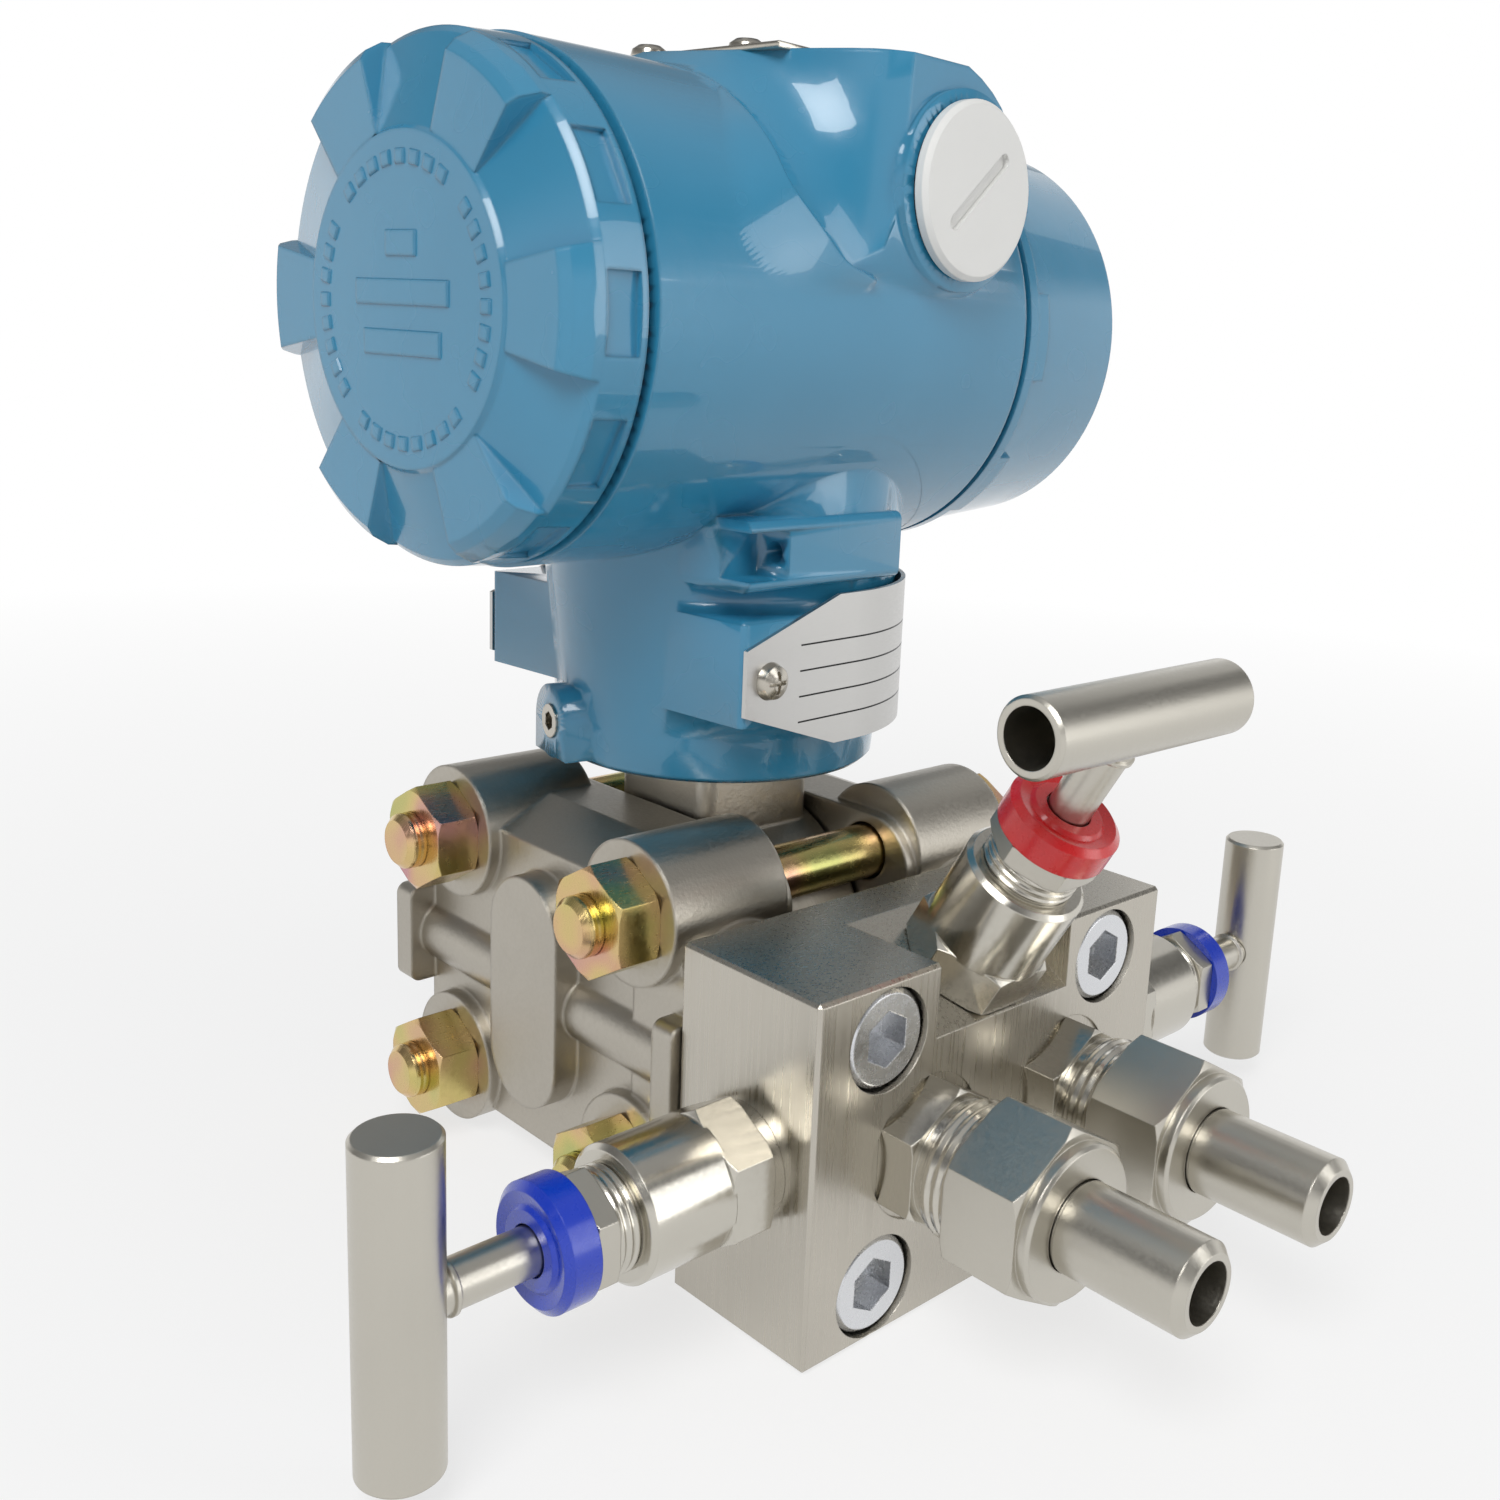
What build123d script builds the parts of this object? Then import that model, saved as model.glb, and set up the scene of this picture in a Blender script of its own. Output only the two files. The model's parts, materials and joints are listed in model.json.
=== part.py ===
from build123d import *
import math
import os

# Differential pressure transmitter on a three-valve manifold.
# Millimetres. The working frame has X across the two flanges, Y from the manifold's
# front face towards the transmitter, Z up, and its origin at the centre of the
# manifold's bolt pattern. Every part is moved to the delivered frame when it is saved:
# centred in X and Y, standing on Z = 0.

# Clearances
fit_gap = 0.06
part_gap = 0.3
thread_gap = 0.05
seat_gap = 0.25

# Manifold block and its standard flange pattern, 54 by 41.3
bolt_pitch_x = 54.0
bolt_pitch_z = 41.3
block_width = 84.0
block_depth = 31.0
block_top = 30.2
block_bottom = -29.5
block_edge = 0.6
port_r = 2.5
counterbore_r = 8.4
counterbore_depth = 10.5
screw_r = 5.0
screw_hole_r = 5.5
screw_head_r = 8.0
screw_head_h = 10.0
screw_socket_af = 8.0
screw_socket_depth = 5.0
screw_reach = 9.5
seal_r = 6.5
seal_groove = 1.6

# Inlet couplings
inlet_pitch = 34.2
spot_r = 12.0
spot_depth = 0.5
fitting_af = 21.0
fitting_hex = 6.6
fitting_thread_r = 8.6
fitting_stub = 8.0
fitting_neck_r = 10.0
fitting_neck = 8.6
union_thread_r = 10.9
fitting_end = 20.0
union_start = 14.5
union_hex = 13.5
union_af = 25.0
collar_r = 12.0
collar_length = 2.0
tube_r = 7.0
tube_relief = 0.2
tube_bore_r = 4.6
tube_end = 51.7
tube_chamfer = 1.4
tube_shoulder_r = 10.2
tube_shoulder = 3.0

# Needle valves, measured along each valve's own axis from its seat
valve_y = 15.0
valve_ring_r = 9.5
valve_ring_h = 2.5
valve_af = 20.0
valve_hex = 8.0
bonnet_r = 10.3
bonnet_end = 25.0
bonnet_thread_r = 8.6
bonnet_thread = 9.0
chamber_r = 5.5
chamber_depth = 16.0
gland_thread_r = 7.6
gland_af = 16.0
gland_hex_start = 29.0
gland_hex = 4.0
gland_nose_r = 7.0
gland_nose = 3.8
packing_r = 5.4
packing_start = 12.0
packing_length = 8.0
cap_r = 9.4
cap_length = 5.6
cap_roof = 1.6
stem_r = 3.5
handle_height = 58.0
handle_r = 6.0
handle_length = 48.0
handle_bore_r = 4.5
stem_proud = 1.5
needle_r = 2.6
needle_cone = 4.0
needle_length = 6.4
equal_angle = 30.5
equal_y = 10.2
equal_z = 21.2
equal_floor = 2.3
pocket_width = 32.6

# Process flanges on each side of the sensor capsule
flange_bolt_pitch_y = 53.5
flange_bolt_pitch_z = 45.2
flange_centre_z = 7.0
joint_gap = 0.4
flange_length = 84.8
flange_inner = 14.3
flange_plate_face = 38.0
boss_inner = 16.5
boss_outer = 40.4
boss_r = 12.4
pad_face = 43.0
pad_width = 20.0
pad_height = 43.0
rib_r = 6.2
rib_depth = 41.2
rib_z = 6.0
tab_face = 43.4
tab_depth = 5.0
tab_height = 19.0
tab_edge = 2.0
plate_top = 37.0
plate_bottom = -25.0
plate_bevel_x = 12.0
plate_bevel_z = 4.5
plate_corner = 10.0
joint_pad_width = 24.0
joint_pad_end = 8.2
flange_bolt_r = 5.0
flange_bolt_hole_r = 5.5
nut_af = 17.0
nut_height = 8.2
bolt_head_h = 6.4
bolt_tip = 3.6
vent_af = 17.0
vent_hex = 6.0
vent_thread_r = 6.0
vent_thread = 11.0
bleed_r = 3.0
bleed_stub = 4.0
bleed_depth = 6.0

# Sensor capsule
capsule_r = 29.0
capsule_half = 13.7
diaphragm_r = 22.0
diaphragm_t = 0.4
diaphragm_recess = 1.2
seal_ring_in = 24.0
seal_ring_out = 27.0
capsule_neck = 26.0
capsule_neck_edge = 3.0
capsule_spigot_r = 21.0
capsule_spigot_top = 70.0

# Housing, in its own frame: x along the cover axis, origin where the neck axis meets it
housing_z = 124.4
housing_turn = 3.9
housing_r = 40.0
housing_bore_r = 34.5
left_gap_x = 53.6
right_gap_x = 35.4
cover_gap = 1.6
partition_x = 22.0
partition_t = 4.0
neck_bottom = 46.8
neck_low_r = 29.3
neck_high_r = 32.6
neck_high_z = 86.0
neck_passage_r = 10.0
conduit_x = 11.0
conduit_z = 22.5
conduit_boss_r = 16.5
conduit_face = 42.6
conduit_thread_r = 9.6
plug_head_r = 14.2
plug_head = 3.0
plug_stub = 12.0
plug_slot = 2.4
plug_gasket = 0.8
top_pad_z = 42.0
top_pad_half_width = 25.0
top_pad_left = 38.0
top_pad_right = 30.0
top_pad_corner = 3.0
ear_left = -28.0
ear_drop = 8.0
ear_flare = 11.0
ear_reach = 40.4
neck_pad_reach = 33.2
neck_pad_left = 27.0
neck_pad_z = 68.5
neck_pad_height = 17.0
band_left = 27.0
band_right = 10.0
band_reach = 34.0
band_z = 88.0
band_height = 11.5
band_lip = 1.8
pocket_length = 9.0
pocket_depth = 7.0
ground_hole_r = 1.8
plate_t = 0.8
top_plate_width = 18.0
top_plate_length = 27.0
top_plate_start = 36.0
top_plate_gap = 2.0
top_screw_inset = 7.0
cross_screw_r = 3.2
cross_screw_h = 2.3
nameplate_tip = 11.0
nameplate_height = 26.0
nameplate_flat = 5.0
nameplate_drop = 1.0
nameplate_screw_inset = 5.5
lock_angle = 165.0
lock_boss_r = 6.6
lock_reach = 33.6
lock_z = 54.0
lock_screw_r = 3.0

# Screwed covers, along the outward axis from the middle of the gap
cover_r = 39.6
cover_bore_r = 31.0
spigot_length = 8.5
left_rim = 9.0
left_face_r = 25.0
left_total = 14.0
left_wall = 4.5
lobe_count = 6
lobe_inner = 14.0
lobe_outer = 20.0
lobe_crest_r = 37.6
lobe_draft = 8
rim_pocket_width = 11.5
rim_pocket_length = 5.8
rim_pocket_start = 1.9
rim_pocket_depth = 1.4
right_rim = 3.4
right_rim_r = 40.0
right_root_r = 38.8
right_lug = 3.4
right_lug_count = 8
right_lug_width = 15.5
right_end_r = 36.4
right_total = 36.5
right_edge = 3.0
window_r = 26.0
glass_r = 29.6
glass_t = 6.0
window_lip = 3.0
retainer_t = 2.4
ring_t = 1.0
ring_in = 34.8
ring_out = 38.0

# Inner pieces of the housing
terminal_r = 26.0
terminal_t = 12.0
terminal_count = 3
terminal_pitch = 14.0
terminal_slot_width = 10.0
terminal_slot_depth = 4.0
terminal_screw_r = 3.4
terminal_screw_h = 2.4
terminal_screw_y = -4.0
board_r = 29.4
board_t = 1.6
board_stand = 2.4
display_r = 28.0
display_length = 26.0

half_pitch_x = bolt_pitch_x / 2
half_pitch_z = bolt_pitch_z / 2
flange_front = block_depth + joint_gap
flange_rear = flange_front + flange_length
housing_y = (flange_front + flange_rear) / 2
flange_bolt_y0 = housing_y - flange_bolt_pitch_y / 2
flange_bolt_y1 = housing_y + flange_bolt_pitch_y / 2
flange_bolt_z0 = flange_centre_z - flange_bolt_pitch_z / 2
flange_bolt_z1 = flange_centre_z + flange_bolt_pitch_z / 2
rear_reach = flange_rear + vent_hex + bleed_stub
centre_y = (rear_reach - tube_end) / 2

os.makedirs("parts", exist_ok=True)


def save(node, shape):
    moved = Pos(0, -centre_y, -block_bottom) * shape
    export_step(moved, "parts/" + node + ".step")


def group(*shapes):
    return Compound([solid for shape in shapes for solid in shape.solids()])


def turned(*outline):
    points = [(r, 0, z) for r, z in outline]
    return revolve(make_face(Polyline(*points, close=True)), Axis.Z)


def rod(r, low, high):
    return turned((0, low), (r, low), (r, high), (0, high))


def ring(r_in, r_out, low, high):
    return turned((r_in, low), (r_out, low), (r_out, high), (r_in, high))


def hexagon(af, low, high, bevel=0.8):
    prism = Pos(0, 0, low) * extrude(RegularPolygon(af / 2, 6, major_radius=False), high - low)
    corner = af / math.sqrt(3)
    rise = bevel * 0.6
    envelope = turned(
        (0, low), (corner - bevel, low), (corner + bevel, low + 2 * rise),
        (corner + bevel, high - 2 * rise), (corner - bevel, high), (0, high),
    )
    return prism & envelope


def along(origin, direction, across=(0, 0, 1)):
    return Plane(origin=origin, x_dir=across, z_dir=direction).location


def block(x0, x1, y0, y1, z0, z1):
    size = Box(x1 - x0, y1 - y0, z1 - z0)
    return Pos((x0 + x1) / 2, (y0 + y1) / 2, (z0 + z1) / 2) * size


def mirrored(shape):
    return mirror(shape, about=Plane.YZ)


# The three valve places: name, seat centre, outward axis, handle direction
tilt = math.radians(equal_angle)
equal_axis = (0, -math.sin(tilt), math.cos(tilt))
valve_places = {
    "left": ((-block_width / 2, valve_y, 0), (-1, 0, 0), (0, 0, 1)),
    "right": ((block_width / 2, valve_y, 0), (1, 0, 0), (0, 0, 1)),
    "equalizing": ((0, equal_y, equal_z), equal_axis, (1, 0, 0)),
}


def valve_location(name):
    seat, axis, across = valve_places[name]
    return along(seat, axis, across)


def valve_cavity(port_depth):
    return (
        rod(bonnet_thread_r + thread_gap, -bonnet_thread - part_gap, 1)
        + rod(chamber_r, -chamber_depth, 0)
        + rod(port_r, -port_depth, 0)
    )


def make_manifold_block():
    body = block(-block_width / 2, block_width / 2, 0, block_depth, block_bottom, block_top)
    body = chamfer(body.edges(), block_edge)
    bore = rod(screw_hole_r, -block_depth - 1, 1) + rod(counterbore_r, -counterbore_depth, 1)
    for x in (-half_pitch_x, half_pitch_x):
        for z in (-half_pitch_z, half_pitch_z):
            body -= along((x, 0, z), (0, -1, 0)) * bore
        outlet = rod(port_r, -1, block_depth - valve_y) + rod(seal_r, -1, seal_groove)
        body -= along((x, block_depth, 0), (0, -1, 0)) * outlet
    inlet = (
        rod(spot_r, -spot_depth, 1)
        + rod(fitting_thread_r + thread_gap, -fitting_stub - part_gap, 1)
        + rod(port_r, -valve_y, 0)
    )
    for x in (-inlet_pitch / 2, inlet_pitch / 2):
        body -= along((x, 0, 0), (0, -1, 0)) * inlet
    side_port = (block_width - inlet_pitch) / 2
    body -= valve_location("left") * valve_cavity(side_port)
    body -= valve_location("right") * valve_cavity(side_port)
    pocket = block(-pocket_width / 2, pocket_width / 2, -block_depth * 2, block_depth * 2,
                   equal_floor, block_depth * 2)
    place = Plane(origin=(0, equal_y, equal_z), x_dir=(1, 0, 0), z_dir=equal_axis).location
    body -= place * pocket
    equal_port = (equal_z + port_r) / math.cos(tilt)
    body -= place * (valve_cavity(equal_port) + rod(valve_ring_r + part_gap, 0, equal_floor + 1))
    cross_y = equal_y + equal_z * math.tan(tilt)
    body -= along((0, cross_y, 0), (1, 0, 0)) * rod(port_r * 0.8, 0, half_pitch_x)
    chamber_y = equal_y + (chamber_depth - 3) * math.sin(tilt)
    chamber_z = equal_z - (chamber_depth - 3) * math.cos(tilt)
    start = Vector(-half_pitch_x, (valve_y + block_depth) / 2, 0)
    slant = Vector(0, chamber_y, chamber_z) - start
    body -= along(start, slant.normalized()) * rod(port_r * 0.8, 0, slant.length)
    return body


def make_manifold_bolts():
    seat = -counterbore_depth
    tip = -(block_depth + screw_reach)
    socket = extrude(RegularPolygon(screw_socket_af / 2, 6, major_radius=False), screw_socket_depth)
    head_top = seat + screw_head_h
    screw = turned(
        (0, tip), (screw_r - 0.8, tip), (screw_r, tip + 0.8), (screw_r, seat),
        (screw_head_r, seat), (screw_head_r, head_top - 0.8), (screw_head_r - 0.8, head_top), (0, head_top),
    )
    screw -= Pos(0, 0, head_top - screw_socket_depth) * socket
    screws = []
    for x in (-half_pitch_x, half_pitch_x):
        for z in (-half_pitch_z, half_pitch_z):
            screws.append(along((x, 0, z), (0, -1, 0)) * screw)
    return group(*screws)


def make_manifold_seals():
    seal = ring(port_r + 1, seal_r - 0.1, -flange_front + block_depth, seal_groove)
    seals = []
    for x in (-half_pitch_x, half_pitch_x):
        seals.append(along((x, block_depth, 0), (0, -1, 0)) * seal)
    return group(*seals)


def make_inlet_fitting():
    fitting = rod(fitting_thread_r, -fitting_stub, 0) + hexagon(fitting_af, -spot_depth, fitting_hex)
    fitting += turned(
        (0, fitting_hex - 0.5), (fitting_neck_r, fitting_hex - 0.5), (fitting_neck_r, fitting_neck - 0.6),
        (union_thread_r, fitting_neck), (union_thread_r, fitting_end - 0.6), (union_thread_r - 0.6, fitting_end),
        (0, fitting_end),
    )
    return fitting - rod(port_r, -fitting_stub - 1, fitting_end + 1)


def make_weld_nipple():
    head_end = fitting_end + tube_shoulder
    free = union_start + union_hex + collar_length + 0.5
    shank_r = tube_r - tube_relief
    return turned(
        (tube_bore_r, fitting_end), (tube_shoulder_r, fitting_end), (tube_shoulder_r, head_end),
        (shank_r, head_end), (shank_r, free), (tube_r, free), (tube_r, tube_end - tube_chamfer),
        (tube_r - tube_chamfer, tube_end), (tube_bore_r, tube_end),
    )


def make_union_nut():
    hex_end = union_start + union_hex
    collar_end = hex_end + collar_length
    lip = fitting_end + tube_shoulder + part_gap
    nut = hexagon(union_af, union_start, hex_end, 1.2)
    nut += turned((0, hex_end - 1), (collar_r, hex_end - 1), (collar_r, collar_end - 0.5),
                  (collar_r - 0.5, collar_end), (0, collar_end))
    nut -= rod(union_thread_r + thread_gap, union_start - 1, lip)
    return nut - rod(tube_r + fit_gap, lip - 1, collar_end + 1)


def make_bonnet():
    body = rod(bonnet_thread_r, -bonnet_thread, 0) + rod(valve_ring_r, 0, valve_ring_h)
    body += hexagon(valve_af, valve_ring_h, valve_ring_h + valve_hex, 1.0)
    base = valve_ring_h + valve_hex - 0.5
    body += turned((0, base), (bonnet_r, base), (bonnet_r, bonnet_end - 0.8),
                   (bonnet_r - 0.8, bonnet_end), (0, bonnet_end))
    body -= rod(stem_r + fit_gap, -bonnet_thread - 1, packing_start + 1)
    body -= rod(packing_r + thread_gap, packing_start, bonnet_end)
    return body - rod(gland_thread_r + thread_gap, packing_start + packing_length, bonnet_end + 1)


def make_packing():
    return ring(stem_r + fit_gap, packing_r, packing_start, packing_start + packing_length)


def make_gland():
    start = packing_start + packing_length
    hex_end = gland_hex_start + gland_hex
    gland = rod(gland_thread_r, start, gland_hex_start) + hexagon(gland_af, gland_hex_start, hex_end)
    gland += rod(gland_nose_r, hex_end - 0.5, hex_end + gland_nose)
    return gland - rod(stem_r + fit_gap, start - 1, hex_end + gland_nose + 1)


def make_cap():
    start = gland_hex_start + gland_hex
    end = start + cap_length
    lip_r = stem_r + 2.2
    cap = turned(
        (gland_nose_r + thread_gap, start), (cap_r, start), (cap_r, end - 1.2), (cap_r - 1.2, end - 0.2),
        (lip_r + 0.6, end - 0.6), (lip_r, end), (stem_r + part_gap, end),
        (stem_r + part_gap, end - cap_roof), (gland_nose_r + thread_gap, end - cap_roof),
    )
    return cap


def make_stem():
    low = -(chamber_depth - needle_length)
    top = handle_height + stem_proud
    hub = handle_height - handle_r
    stem = turned(
        (0, low), (stem_r, low), (stem_r, hub - 1.2), (stem_r + 0.5, hub - 0.9),
        (stem_r + 0.5, hub - 0.3), (stem_r, hub), (stem_r, top - 1.0), (stem_r - 1.0, top), (0, top),
    )
    return stem


def make_needle():
    top = -(chamber_depth - needle_length) - part_gap
    shoulder = -chamber_depth + 0.4
    return turned((0, shoulder - needle_cone), (0.4, shoulder - needle_cone), (needle_r, shoulder),
                  (needle_r, top), (0, top))


def make_handle():
    half = handle_length / 2
    bar = rod(handle_r, -half, half)
    bar = chamfer(bar.edges().filter_by(GeomType.CIRCLE), 0.5)
    bar -= rod(handle_bore_r, -half - 1, stem_r + 1)
    bar = Pos(0, 0, handle_height) * (Rot(0, 90, 0) * bar)
    return bar - rod(stem_r + thread_gap, handle_height - handle_r - 1, handle_height)


def make_flange():
    y0 = flange_bolt_y0 - boss_r + 1
    y1 = flange_bolt_y1 + boss_r - 1
    outline = RectangleRounded(y1 - y0, plate_top - plate_bottom, plate_corner)
    outline = Pos((y0 + y1) / 2, (plate_top + plate_bottom) / 2) * outline
    inner = Plane(origin=(-flange_inner, 0, 0), x_dir=(0, 1, 0), z_dir=(1, 0, 0)).location
    profile = Polyline(
        (-flange_inner, plate_bottom), (1.5 - flange_plate_face, plate_bottom),
        (-flange_plate_face, plate_bottom + 1.5), (-flange_plate_face, plate_top - plate_bevel_z),
        (plate_bevel_x - flange_plate_face, plate_top), (-flange_inner, plate_top), close=True,
    )
    front = Plane(origin=(0, y0, 0), x_dir=(1, 0, 0), z_dir=(0, -1, 0)).location
    body = (inner * extrude(outline, flange_inner - flange_plate_face)) & (front * extrude(make_face(profile), y0 - y1))
    for y in (flange_bolt_y0, flange_bolt_y1):
        for z in (flange_bolt_z0, flange_bolt_z1):
            body += along((0, y, z), (-1, 0, 0)) * rod(boss_r, boss_inner, boss_outer)
    centre_pad = Pos(housing_y, flange_centre_z) * Rot(0, 0, 90) * SlotOverall(pad_height, pad_width)
    body += inner * extrude(centre_pad, flange_inner - pad_face)
    spine = along((rib_r - rib_depth, flange_front + 1, rib_z), (0, 1, 0))
    body += spine * rod(rib_r, 0, flange_rear - flange_front - 2)
    for y in (flange_front, flange_rear - tab_depth):
        tab = block(-tab_face, -flange_inner - 2, y, y + tab_depth, rib_z - tab_height / 2, rib_z + tab_height / 2)
        body += fillet(tab.edges().filter_by(Axis.Y), tab_edge)
    joint_pad = Pos(-half_pitch_x, 0) * Rot(0, 0, 90) * SlotOverall(bolt_pitch_z + 2 * joint_pad_end, joint_pad_width)
    front = Plane(origin=(0, flange_front, 0), x_dir=(1, 0, 0), z_dir=(0, -1, 0))
    body += front.location * extrude(joint_pad, -(flange_bolt_y0 - flange_front))
    for y in (flange_bolt_y0, flange_bolt_y1):
        for z in (flange_bolt_z0, flange_bolt_z1):
            body -= along((0, y, z), (-1, 0, 0)) * rod(flange_bolt_hole_r, 0, boss_outer + 1)
    for z in (-half_pitch_z, half_pitch_z):
        tapped = rod(screw_r + thread_gap, 0, screw_reach + 0.6)
        body -= along((-half_pitch_x, flange_front, z), (0, 1, 0)) * tapped
    port_end = housing_y - flange_front
    body -= along((-half_pitch_x, flange_front, 0), (0, 1, 0)) * rod(port_r, -1, port_end)
    body -= along((-half_pitch_x, flange_rear, rib_z), (0, -1, 0)) * (
        rod(vent_thread_r + thread_gap, -1, vent_thread + part_gap) + rod(port_r, 0, port_end)
    )
    bowl = along((-flange_inner, housing_y, flange_centre_z), (-1, 0, 0))
    cavity = turned((0, -1), (diaphragm_r, -1), (diaphragm_r, 0), (port_r * 2, 3), (0, 3))
    cavity += rod(port_r, 0, half_pitch_x - flange_inner)
    body -= bowl * cavity
    groove = ring(seal_ring_in, seal_ring_out, -1, 0.3)
    return body - bowl * groove


def make_flange_bolts():
    tip = boss_outer + nut_height + bolt_tip
    bolt = rod(flange_bolt_r, -boss_outer - 0.5, tip - 1)
    bolt += turned((0, tip - 1), (flange_bolt_r, tip - 1), (flange_bolt_r - 1, tip), (0, tip))
    bolt += hexagon(nut_af, -boss_outer - bolt_head_h, -boss_outer)
    bolts = []
    for y in (flange_bolt_y0, flange_bolt_y1):
        for z in (flange_bolt_z0, flange_bolt_z1):
            bolts.append(along((0, y, z), (-1, 0, 0)) * bolt)
    return group(*bolts)


def make_flange_nuts():
    nut = hexagon(nut_af, boss_outer, boss_outer + nut_height, 1.0)
    nut -= rod(flange_bolt_r + thread_gap, boss_outer - 1, boss_outer + nut_height + 1)
    nuts = []
    for y in (flange_bolt_y0, flange_bolt_y1):
        for z in (flange_bolt_z0, flange_bolt_z1):
            nuts.append(along((0, y, z), (-1, 0, 0)) * nut)
    return group(*nuts)


def make_vent_plugs():
    plug = hexagon(vent_af, 0, vent_hex) + rod(vent_thread_r, -vent_thread, 0)
    plug -= rod(bleed_r + thread_gap, vent_hex - bleed_depth, vent_hex + 1)
    plug -= rod(port_r / 2, -vent_thread - 1, vent_hex)
    return group(*[along((x, flange_rear, rib_z), (0, 1, 0)) * plug for x in (-half_pitch_x, half_pitch_x)])


def make_bleed_screws():
    low = vent_hex - bleed_depth + part_gap
    top = vent_hex + bleed_stub
    screw = turned((0, low), (bleed_r, low), (bleed_r, top - 0.6), (bleed_r - 0.6, top), (0, top))
    screw -= block(-bleed_r - 1, bleed_r + 1, -0.5, 0.5, top - 1.2, top + 1)
    return group(*[along((x, flange_rear, rib_z), (0, 1, 0)) * screw for x in (-half_pitch_x, half_pitch_x)])


def make_capsule():
    centre = along((0, housing_y, flange_centre_z), (1, 0, 0))
    recess = diaphragm_recess
    body = centre * rod(capsule_r, -capsule_half, capsule_half)
    neck_low = flange_centre_z + capsule_r * 0.6
    half = capsule_neck / 2
    neck = block(-half, half, housing_y - half, housing_y + half, neck_low, neck_bottom - part_gap)
    body += fillet(neck.edges().filter_by(Axis.Z), capsule_neck_edge)
    body += Pos(0, housing_y, 0) * turned(
        (0, neck_bottom - 2), (capsule_neck / 2, neck_bottom - 2), (capsule_neck / 2, neck_bottom - part_gap),
        (capsule_spigot_r, neck_bottom + part_gap), (capsule_spigot_r, capsule_spigot_top), (0, capsule_spigot_top),
    )
    dish = rod(diaphragm_r, capsule_half - recess, capsule_half + 1)
    body -= centre * dish
    body -= along((0, housing_y, flange_centre_z), (-1, 0, 0)) * dish
    return body


def make_diaphragms():
    low = capsule_half - diaphragm_recess
    wave = 0.35
    disc = turned(
        (0, low), (diaphragm_r * 0.5, low), (diaphragm_r * 0.58, low + wave), (diaphragm_r * 0.66, low),
        (diaphragm_r * 0.74, low + wave), (diaphragm_r * 0.82, low), (diaphragm_r, low),
        (diaphragm_r, low + diaphragm_t), (diaphragm_r * 0.82, low + diaphragm_t),
        (diaphragm_r * 0.74, low + wave + diaphragm_t), (diaphragm_r * 0.66, low + diaphragm_t),
        (diaphragm_r * 0.58, low + wave + diaphragm_t), (diaphragm_r * 0.5, low + diaphragm_t),
        (0, low + diaphragm_t),
    )
    return group(*[along((0, housing_y, flange_centre_z), (s, 0, 0)) * disc for s in (-1, 1)])


def make_flange_seals():
    seal = ring(seal_ring_in, seal_ring_out, capsule_half, flange_inner + 0.3)
    return group(*[along((0, housing_y, flange_centre_z), (s, 0, 0)) * seal for s in (-1, 1)])


# Housing frame: x along the covers, the neck axis at its origin
housing_place = Pos(0, housing_y, housing_z) * Rot(0, 0, housing_turn)
left_place = housing_place * along((-left_gap_x, 0, 0), (-1, 0, 0))
right_place = housing_place * along((right_gap_x, 0, 0), (1, 0, 0))


def lz(height):
    return height - housing_z


def ear_outline(grow):
    left = ear_left - grow
    bottom = conduit_z - conduit_boss_r - grow
    right = conduit_x + conduit_boss_r + grow
    slant = (conduit_boss_r + grow) * math.sqrt(0.5)
    start = (left, top_pad_z - ear_drop - grow / 2)
    middle = (left + 9.5 + grow / 5, conduit_z + 1 - grow * 0.7)
    curve = Spline(start, middle, (conduit_x, bottom), tangents=((1, -0.1), (1, 0)))
    arc = ThreePointArc((conduit_x, bottom), (conduit_x + slant, conduit_z - slant), (right, conduit_z))
    rest = Polyline((right, conduit_z), (right, top_pad_z), (left, top_pad_z), start)
    return make_face([curve, arc, rest])


def make_ear(right_end):
    sections = []
    for grow, depth in ((0, 0), (ear_flare * 0.3, -6), (ear_flare, -14)):
        sections.append(Pos(0, 0, ear_reach + depth) * ear_outline(grow))
    front = Plane(origin=(0, 0, 0), x_dir=(1, 0, 0), z_dir=(0, -1, 0)).location
    ear = front * loft(sections)
    ear += front * extrude(Pos(0, 0, 0) * ear_outline(0), ear_reach - 10)
    knee = (top_pad_z + conduit_z) / 2 - 4
    profile = Polyline((0, top_pad_z), (-top_pad_half_width, top_pad_z), (-ear_reach + 2.5, knee),
                       (-ear_reach, conduit_z), (-ear_reach, -housing_r), (0, -housing_r), close=True)
    side = Plane(origin=(-top_pad_left, 0, 0), x_dir=(0, 1, 0), z_dir=(1, 0, 0)).location
    return ear & (side * extrude(make_face(profile), top_pad_left + right_end))


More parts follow.
